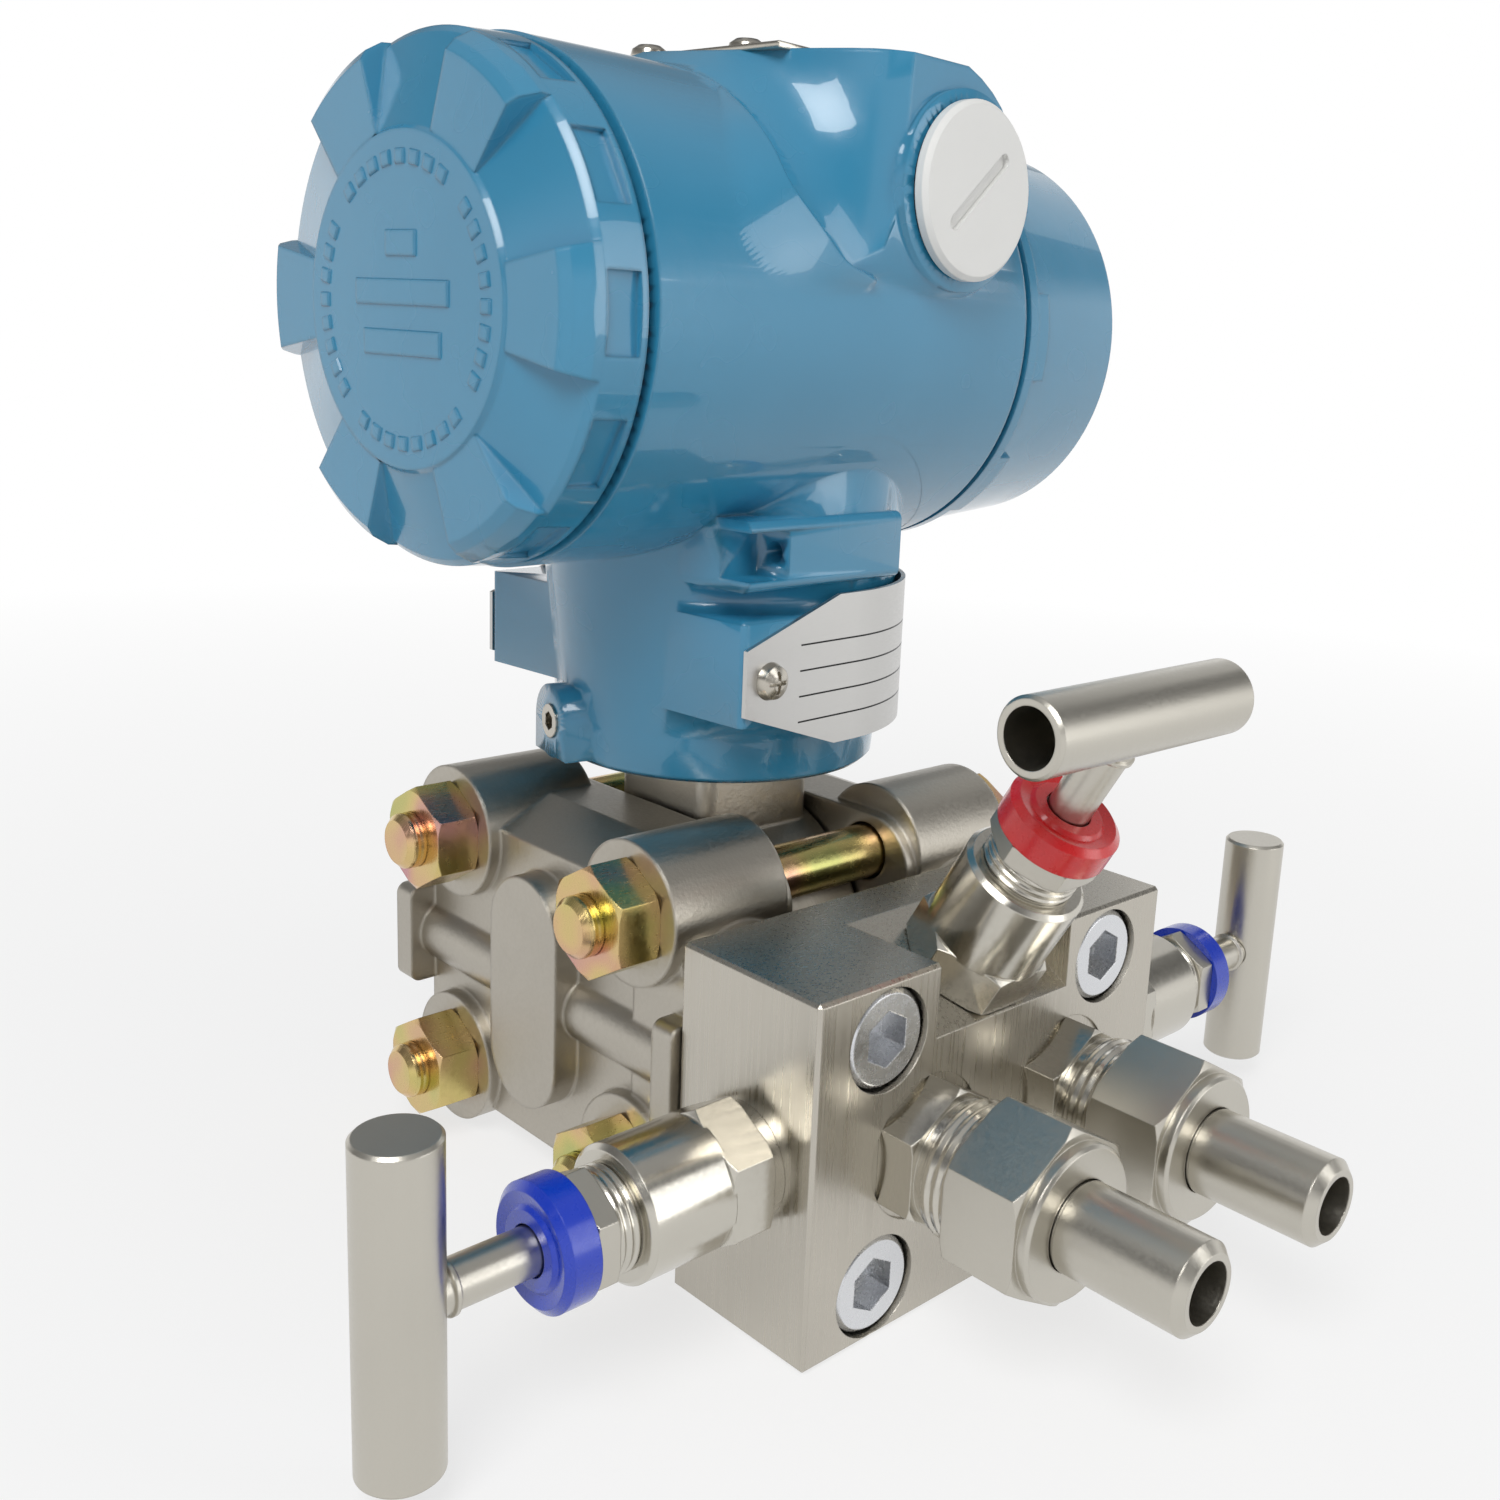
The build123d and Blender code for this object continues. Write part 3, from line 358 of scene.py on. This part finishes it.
def smooth_line(points, steps):
    """Points of a smooth line through the given ones."""
    rows = [Vector(point) for point in points]
    rows = [2 * rows[0] - rows[1]] + rows + [2 * rows[-1] - rows[-2]]
    line = []
    for i in range(1, len(rows) - 2):
        a, b, c, d = rows[i - 1:i + 3]
        for k in range(steps):
            t = k / steps
            bend = (2 * a - 5 * b + 4 * c - d) * t * t + (3 * b - a - 3 * c + d) * t * t * t
            line.append(0.5 * (2 * b + (c - a) * t + bend))
    return line + [rows[-2]]


def swell_rings():
    """Closed sections of the swell: up from its root in the barrel, over the crest, down into the boss."""
    feet = smooth_line([foot for foot, crest in swell_lines], swell_steps)
    crests = smooth_line([crest for foot, crest in swell_lines], swell_steps)
    rings = []
    for foot, crest in zip(feet, crests):
        away = Vector((0, crest.y, crest.z)).normalized()
        side = (crest - foot) - (crest - foot).dot(away) * away
        side = side.normalized() if side.length > 0.01 else Vector((1, 0, 0))
        rise = foot.lerp(crest, 0.5) + away * swell_bulge
        inside = [crest + side * along - away * down for along, down in past_crest]
        outward = Vector((0, foot.y, foot.z)).normalized()
        foot = foot - side * foot_out - outward * foot_sink
        root = foot - outward * root_depth
        rings.append([tuple(v) for v in (root, foot, rise, crest, *inside)])
    return rings


def curve_points(start, pull, end, count):
    """Points of a quadratic curve, without its last one."""
    points = []
    for i in range(count):
        t = i / count
        a, b, c = (1 - t) ** 2, 2 * t * (1 - t), t * t
        points.append(tuple(a * p + b * q + c * r for p, q, r in zip(start, pull, end)))
    return points


def boss_ring(depth, top_left, foot_x, foot_z, bottom, top_right):
    """One closed section of the boss, as points in the plane at its depth."""
    crease = (top_left - crease_out, foot_z + crease_up)
    left = curve_points((top_left, pad_z), crease, (foot_x, foot_z), 12)
    under = curve_points((foot_x, foot_z), (boss_x - under_reach, bottom), (boss_x, bottom), 8)
    right = curve_points((boss_x, bottom), (boss_right, bottom), (boss_right, boss_z), 8)
    rise = curve_points((boss_right, boss_z), (boss_right, pad_z - shoulder_drop), (top_right, pad_z), 8)
    top = curve_points((top_right, pad_z), ((top_left + top_right) / 2, pad_z), (top_left, pad_z), 4)
    return [(x, depth, z) for x, z in left + under + right + rise + top]


def object_of(name, bm):
    mesh = bpy.data.meshes.new(name)
    bmesh.ops.recalc_face_normals(bm, faces=bm.faces)
    bm.to_mesh(mesh)
    bm.free()
    made = bpy.data.objects.new(name, mesh)
    bpy.context.scene.collection.objects.link(made)
    return made


def lofted(name, rings):
    """A closed solid through rings that have the same number of points."""
    bm = bmesh.new()
    rows = [[bm.verts.new(point) for point in ring] for ring in rings]
    for low, high in zip(rows, rows[1:]):
        for i in range(len(low)):
            j = (i + 1) % len(low)
            bm.faces.new((low[i], low[j], high[j], high[i]))
    bm.faces.new(rows[0])
    bm.faces.new(reversed(rows[-1]))
    return object_of(name, bm)


def circle(bm, radius, height, sides):
    """The vertices of one circle round Z, or the single vertex of a radius of 0."""
    if radius == 0:
        return [bm.verts.new((0, 0, height))]
    angles = [2 * math.pi * i / sides for i in range(sides)]
    return [bm.verts.new((radius * math.cos(a), radius * math.sin(a), height)) for a in angles]


def turned(name, outline, sides=144, ring=False):
    """A solid turned round Z from (radius, height) points: from axis to axis, or a closed ring."""
    bm = bmesh.new()
    rows = [circle(bm, radius, height, sides) for radius, height in outline]
    followers = rows[1:] + rows[:1] if ring else rows[1:]
    for low, high in zip(rows, followers):
        for i in range(sides):
            j = (i + 1) % sides
            corners = (low[i % len(low)], low[j % len(low)], high[j % len(high)], high[i % len(high)])
            bm.faces.new(tuple(dict.fromkeys(corners)))
    return object_of(name, bm)


def rod_solid(name, radius, low, high, place):
    made = turned(name, ((0, low), (radius, low), (radius, high), (0, high)))
    made.data.transform(place)
    return made


def bake(piece):
    """Turns what the piece's modifiers make of it into its own mesh."""
    depsgraph = bpy.context.evaluated_depsgraph_get()
    mesh = bpy.data.meshes.new_from_object(piece.evaluated_get(depsgraph))
    piece.modifiers.clear()
    old = piece.data
    piece.data = mesh
    bpy.data.meshes.remove(old)
    return piece


def combine(target, cutter, operation):
    """Joins or cuts the target with the cutter, which is then removed."""
    change = target.modifiers.new("combine", "BOOLEAN")
    change.operation = operation
    change.solver = "EXACT"
    change.object = cutter
    bake(target)
    bpy.data.objects.remove(cutter)
    return target


def mirrored(ring, side):
    """The ring for one end of the depth: as drawn for side -1, mirrored for side 1."""
    return [(x, -side * y, z) for x, y, z in ring]


def copy_of(name, node):
    made = bpy.data.objects.new(name, nodes[node].data.copy())
    bpy.context.scene.collection.objects.link(made)
    return made


def box_solid(name, low, high):
    bm = bmesh.new()
    bmesh.ops.create_cube(bm, size=1)
    for vert in bm.verts:
        vert.co = [a + (b - a) * (c + 0.5) for a, b, c in zip(low, high, vert.co)]
    return object_of(name, bm)


def smooth(obj, angle=35):
    for polygon in obj.data.polygons:
        polygon.use_smooth = True
    obj.data.set_sharp_from_angle(angle=math.radians(angle))


def boss_rod(name, radius, low, high, side):
    """A rod along a cable boss's axis, at the front for side -1 and at the rear for side 1."""
    out = Matrix.Translation((boss_x, 0, boss_z)) @ Matrix.Rotation(side * -math.pi / 2, 4, "X")
    return rod_solid(name, radius, low, high, out)


def make_skin(low, high):
    """A finely faceted tube over the barrel, open at the bosses' bores and clear of the neck."""
    outer = barrel_r + skin_lift
    outline = ((barrel_inside, low), (outer, low), (outer, high), (barrel_inside, high))
    skin = turned("skin", outline, skin_sides, ring=True)
    skin.data.transform(across)
    for side in (-1, 1):
        combine(skin, boss_rod("bore", boss_bore_r, bore_start, past_end, side), "DIFFERENCE")
    passage = rod_solid("passage", neck_clear_r, -past_end, 0, Matrix.Identity(4))
    return combine(skin, passage, "DIFFERENCE")


def make_housing_shell(material):
    """The housing with its cable bosses drawn as cast: narrow at the plug, sweeping out to the barrel."""
    shell = copy_of("housing_shell", "housing")
    shell.data.transform(housing_frame.inverted())
    low = (-past_end, -cut_half_depth, cut_floor)
    cutter = box_solid("cutter", low, (past_end, cut_half_depth, past_end))
    combine(cutter, rod_solid("barrel", barrel_r, -past_barrel, past_barrel, across), "DIFFERENCE")
    for side in (-1, 1):
        combine(cutter, boss_rod("boss", boss_r, boss_start, past_end, side), "DIFFERENCE")
    combine(shell, cutter, "DIFFERENCE")
    ends = [vertex.co.x for vertex in shell.data.vertices if vertex.co.z > 0]
    combine(shell, make_skin(min(ends) + skin_end, max(ends) - skin_end), "UNION")
    for side in (-1, 1):
        boss = lofted("boss", [mirrored(boss_ring(*section), side) for section in boss_sections])
        inside = rod_solid("inside", barrel_inside, -past_barrel, past_barrel, across)
        combine(boss, inside, "DIFFERENCE")
        combine(boss, boss_rod("bore", boss_bore_r, bore_start, past_end, side), "DIFFERENCE")
        combine(shell, boss, "UNION")
        swell = lofted("swell", [mirrored(ring, side) for ring in swell_rings()])
        combine(shell, swell, "UNION")
    shell.data.transform(housing_frame)
    dressed(shell, material, "housing", ("housing",))
    even = shell.modifiers.new("even shading", "WEIGHTED_NORMAL")
    even.keep_sharp = True
    even.weight = 80


# Two cover plates on the pad, each with one screw near the middle of the housing
plate_width = 14.0
plate_length = 24.0
plate_middle = -9.0
plate_gap = 1.0
plate_t = 0.8
plate_sink = 0.3
plate_edge = 0.25
plate_screws = ((-9.5, -11.5), (-12.5, 9.0))
screw_r = 3.2
screw_h = 2.2
screw_slot = 0.7
screw_turn = 0.6
screw_sides = 48


def screw_head(place):
    """A pan head with a cross recess, standing on the plate."""
    head = turned("head", (
        (0, 0), (screw_r, 0), (screw_r, 0.4), (screw_r * 0.92, screw_h * 0.6),
        (screw_r * 0.6, screw_h * 0.93), (0, screw_h),
    ), screw_sides)
    arm = screw_r * 0.6
    for turn in (0, math.pi / 2):
        slot = box_solid("slot", (-arm, -screw_slot / 2, screw_h * 0.5), (arm, screw_slot / 2, screw_h + 1))
        slot.data.transform(Matrix.Rotation(turn, 4, "Z"))
        combine(head, slot, "DIFFERENCE")
    head.data.transform(place)
    return head


def dressed(piece, material, body, replaced=()):
    """Gives a piece its material and body, and lets it stand for the named nodes."""
    piece.data.materials.clear()
    piece.data.materials.append(material)
    smooth(piece)
    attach(piece, body)
    for node in replaced:
        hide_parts(node)
    return piece


def rounded(piece, width, segments=2):
    """Rounds a piece's edges in its mesh."""
    change = piece.modifiers.new("rounded", "BEVEL")
    change.width = width
    change.segments = segments
    return bake(piece)


def make_top_plates(materials):
    """Two thin plates side by side on the pad, with a screw in each."""
    plates = None
    for side in (-1, 1):
        ends = sorted((side * plate_gap, side * (plate_gap + plate_length)))
        low = (plate_middle - plate_width / 2, ends[0], pad_z - plate_sink)
        high = (plate_middle + plate_width / 2, ends[1], pad_z + plate_t)
        plate = rounded(box_solid("plate", low, high), plate_edge)
        plates = combine(plates, plate, "UNION") if plates else plate
    plates.name = "cover_plates"
    plates.data.transform(housing_frame)
    dressed(plates, materials["foil"], "housing", ("top_plates",))
    heads = None
    for x, y in plate_screws:
        place = Matrix.Translation((x, y, pad_z + plate_t))
        head = screw_head(place @ Matrix.Rotation(screw_turn, 4, "Z"))
        heads = combine(heads, head, "UNION") if heads else head
    heads.name = "cover_plate_screws"
    heads.data.transform(housing_frame)
    dressed(heads, materials["screw_steel"], "housing", ("top_plate_screws",))


# Threads in millimetres: root and crest radius, start and end along the axis, pitch
gland_thread = (7.6, 7.95, 25.1, 28.9, 1.25)
fitting_thread = (10.9, 11.2, 8.9, 14.3, 1.5)
bolt_thread = (5.0, 5.12, 48.7, 51.1, 1.0)
gland_start = 20.0
fitting_start = -8.0
thread_sides = 72
thread_under = 0.6

# Axes in metres: the inlets' distance from the middle and height, the flange bolts' (y, z)
inlet_x = 0.0171
inlet_z = 0.0295
bolt_axes = ((0.0098, 0.0139), (0.0098, 0.0591), (0.0633, 0.0139), (0.0633, 0.0591))


def axis_place(node, axis, through, low):
    """The frame whose Z runs outwards along an axis and has the node's inner end at height low."""
    out = Vector(axis).normalized()
    start = min((vertex.co - Vector(through)).dot(out) for vertex in nodes[node].data.vertices)
    origin = Vector(through) + out * (start - low * mm)
    turn = out.to_track_quat("Z", "Y").to_matrix().to_4x4()
    return Matrix.Translation(origin) @ turn @ Matrix.Scale(mm, 4)


def make_thread(name, sizes, place, material):
    """The visible turns of a node's screw thread, as ridges on its plain cylinder."""
    root, crest, low, high, pitch = sizes
    count = int((high - low) / pitch)
    step = (high - low) / count
    outline = [(root - thread_under, low), (root, low)]
    for i in range(count):
        z = low + step * i
        outline += [(root + 0.02, z + step * 0.15), (crest, z + step * 0.45)]
        outline += [(crest, z + step * 0.6), (root + 0.02, z + step * 0.9)]
    outline += [(root, high), (root - thread_under, high)]
    ridge = turned(name, outline, thread_sides, ring=True)
    ridge.data.transform(place)
    dressed(ridge, material, "base")


def make_threads(materials):
    polished = materials["polished_stainless"]
    axes = {joint["name"]: joint["axis"] for joint in frame["joints"]}
    for valve in ("left_valve", "right_valve", "equalizing_valve"):
        low, high = (Vector(corner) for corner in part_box(valve + "_stem"))
        place = axis_place(valve + "_gland", axes[valve + "_turn"], (low + high) / 2, gland_start)
        make_thread(valve + "_gland_thread", gland_thread, place, polished)
    for node, x in (("left_inlet_fitting", -inlet_x), ("right_inlet_fitting", inlet_x)):
        place = axis_place(node, (0, -1, 0), (x, 0, inlet_z), fitting_start)
        make_thread(node + "_thread", fitting_thread, place, polished)
    left = Matrix.Rotation(-math.pi / 2, 4, "Y") @ Matrix.Scale(mm, 4)
    for i, (y, z) in enumerate(bolt_axes):
        place = Matrix.Translation((0, y, z)) @ left
        name = "flange_bolt_thread_%d" % (i + 1)
        make_thread(name, bolt_thread, place, materials["yellow_zinc"])


# Raised dashes in a ring on the long cover's disc, and three bars: distance from the middle, length, height
dash_count = 36
dash_gap = 9
dash_ring_r = 20.6
dash_size = 2.6
bars = ((8.5, 8.0, 4.2), (1.5, 24.0, 4.2), (-5.8, 20.0, 4.2))
relief_height = 0.35
relief_draft = 0.35
relief_root = 0.3


def add_bar(bm, face, angle, radius, length, height):
    """Adds one raised bar with slanting sides, at an angle round the cover's axis."""
    turn = Matrix.Rotation(angle, 4, "X")
    corners = []
    for x, shrink in ((face + relief_root, 0.0), (face - relief_height, relief_draft)):
        for u, v in ((-1, -1), (1, -1), (1, 1), (-1, 1)):
            y = u * (length / 2 - shrink)
            z = radius + v * (height / 2 - shrink)
            corners.append(bm.verts.new(turn @ Vector((x, y, z))))
    for i in range(4):
        j = (i + 1) % 4
        bm.faces.new((corners[i], corners[j], corners[4 + j], corners[4 + i]))
    bm.faces.new(corners[:4])
    bm.faces.new(corners[4:])


def make_cover_relief(materials):
    """Plain raised dashes and bars on the long cover's disc."""
    face = min((housing_frame.inverted() @ vertex.co).x for vertex in nodes["left_cover"].data.vertices)
    bm = bmesh.new()
    for i in range(dash_count):
        if i % dash_gap != dash_gap // 2:
            add_bar(bm, face, 2 * math.pi * i / dash_count, dash_ring_r, dash_size, dash_size)
    for radius, length, height in bars:
        add_bar(bm, face, 0, radius, length, height)
    relief = object_of("cover_relief", bm)
    relief.data.transform(housing_frame)
    dressed(relief, materials["blue_paint"], "left_cover")


# How far the front plug is turned about its own axis, so that its slot leans towards the short cover
plug_turn = math.radians(79)


def make_front_plug(materials):
    """The front plug, turned in its boss."""
    to_axis = Matrix.Translation((boss_x, 0, boss_z))
    turn = to_axis @ Matrix.Rotation(plug_turn, 4, "Y") @ to_axis.inverted()
    plug = copy_of("front_plug", "front_conduit_plug")
    plug.data.transform(housing_frame @ turn @ housing_frame.inverted())
    dressed(plug, materials["white_plastic"], "housing", ("front_conduit_plug",))


# The background's brightness by height, from straight down (0) to straight up (1), and the even light
# that all other rays get
sky_stops = ((0.0, 1.0), (0.60, 1.0), (0.66, 0.30), (0.76, 0.16), (0.88, 0.40), (1.0, 0.55))
sky_light = (0.36, 0.36, 0.36, 1)
floor_size = 12
floor_z = -0.0002


def make_floor():
    """A pale floor that fades into the white background away from the part."""
    bpy.ops.mesh.primitive_plane_add(size=floor_size, location=(0, 0, floor_z))
    floor = bpy.context.object
    floor.name = "floor"
    s = Shader("floor")
    grain = s.noise(3, 2.0)
    s.set(Specular_IOR_Level=0.1)
    tone = s.ramp(grain, [(0.3, (0.86, 0.86, 0.86)), (0.7, (0.88, 0.88, 0.88))])
    s.finish(tone, s.spread(grain, 0.60, 0.70), None)
    away = s.node("VectorMath", operation="LENGTH")
    s.link(s.place(), away.inputs[0])
    white = s.node("MapRange")
    for name, value in (("From Min", 0.10), ("From Max", 0.70), ("To Min", 0.70), ("To Max", 1.0)):
        white.inputs[name].default_value = value
    s.link(away.outputs["Value"], white.inputs["Value"])
    share = s.node("Math", operation="MULTIPLY")
    s.link(white.outputs["Result"], share.inputs[0])
    s.link(seen_rays(s.tree), share.inputs[1])
    glow = s.node("Emission")
    mix = s.node("MixShader")
    s.link(share.outputs["Value"], mix.inputs["Fac"])
    s.link(s.surface.outputs["BSDF"], mix.inputs[1])
    s.link(glow.outputs["Emission"], mix.inputs[2])
    s.link(mix.outputs["Shader"], s.tree.nodes["Material Output"].inputs["Surface"])
    floor.data.materials.append(s.material)


def seen_rays(tree):
    """1 for the rays that show the background: straight, mirrored or through the glass."""
    rays = tree.nodes.new("ShaderNodeLightPath")
    total = rays.outputs["Is Camera Ray"]
    for name in ("Is Glossy Ray", "Is Transmission Ray"):
        step = tree.nodes.new("ShaderNodeMath")
        step.operation = "MAXIMUM"
        tree.links.new(total, step.inputs[0])
        tree.links.new(rays.outputs[name], step.inputs[1])
        total = step.outputs["Value"]
    return total


def make_world():
    world = bpy.data.worlds.new("studio")
    world.use_nodes = True
    bpy.context.scene.world = world
    tree = world.node_tree
    tree.nodes.clear()
    add = tree.nodes.new
    link = tree.links.new
    coordinates = add("ShaderNodeTexCoord")
    split = add("ShaderNodeSeparateXYZ")
    ramp = add("ShaderNodeValToRGB")
    height = add("ShaderNodeMapRange")
    height.inputs["From Min"].default_value = -1
    height.inputs["From Max"].default_value = 1
    link(coordinates.outputs["Generated"], split.inputs["Vector"])
    link(split.outputs["Z"], height.inputs["Value"])
    link(height.outputs["Result"], ramp.inputs["Fac"])
    while len(ramp.color_ramp.elements) < len(sky_stops):
        ramp.color_ramp.elements.new(0.5)
    for element, (position, level) in zip(ramp.color_ramp.elements, sky_stops):
        element.position = position
        element.color = (level, level, level, 1)
    sky = add("ShaderNodeBackground")
    link(ramp.outputs["Color"], sky.inputs["Color"])
    soft = add("ShaderNodeBackground")
    soft.inputs["Color"].default_value = sky_light
    mix = add("ShaderNodeMixShader")
    link(seen_rays(tree), mix.inputs["Fac"])
    link(soft.outputs["Background"], mix.inputs[1])
    link(sky.outputs["Background"], mix.inputs[2])
    link(mix.outputs["Shader"], add("ShaderNodeOutputWorld").inputs["Surface"])


def make_light(name, place, target, size, power):
    data = bpy.data.lights.new(name, "AREA")
    data.shape = "RECTANGLE"
    data.size, data.size_y = size
    data.energy = power
    light = bpy.data.objects.new(name, data)
    light.location = place
    light.rotation_euler = (Vector(target) - Vector(place)).to_track_quat("-Z", "Y").to_euler()
    bpy.context.scene.collection.objects.link(light)


def make_lights():
    middle = (0, 0, 0.10)
    make_light("key", (-0.55, -0.35, 0.75), middle, (0.45, 0.45), 4.8)
    make_light("fill", (0.45, -0.80, 0.35), middle, (0.4, 0.7), 1.8)
    make_light("rim", (0.80, 0.20, 0.45), middle, (0.5, 0.5), 0.4)


materials = make_materials()
dress_nodes(materials)
make_housing_shell(materials["blue_paint"])
make_top_plates(materials)
make_front_plug(materials)
make_threads(materials)
make_cover_relief(materials)
make_camera()
make_world()
make_floor()
make_lights()

bpy.context.scene.view_settings.view_transform = "Standard"
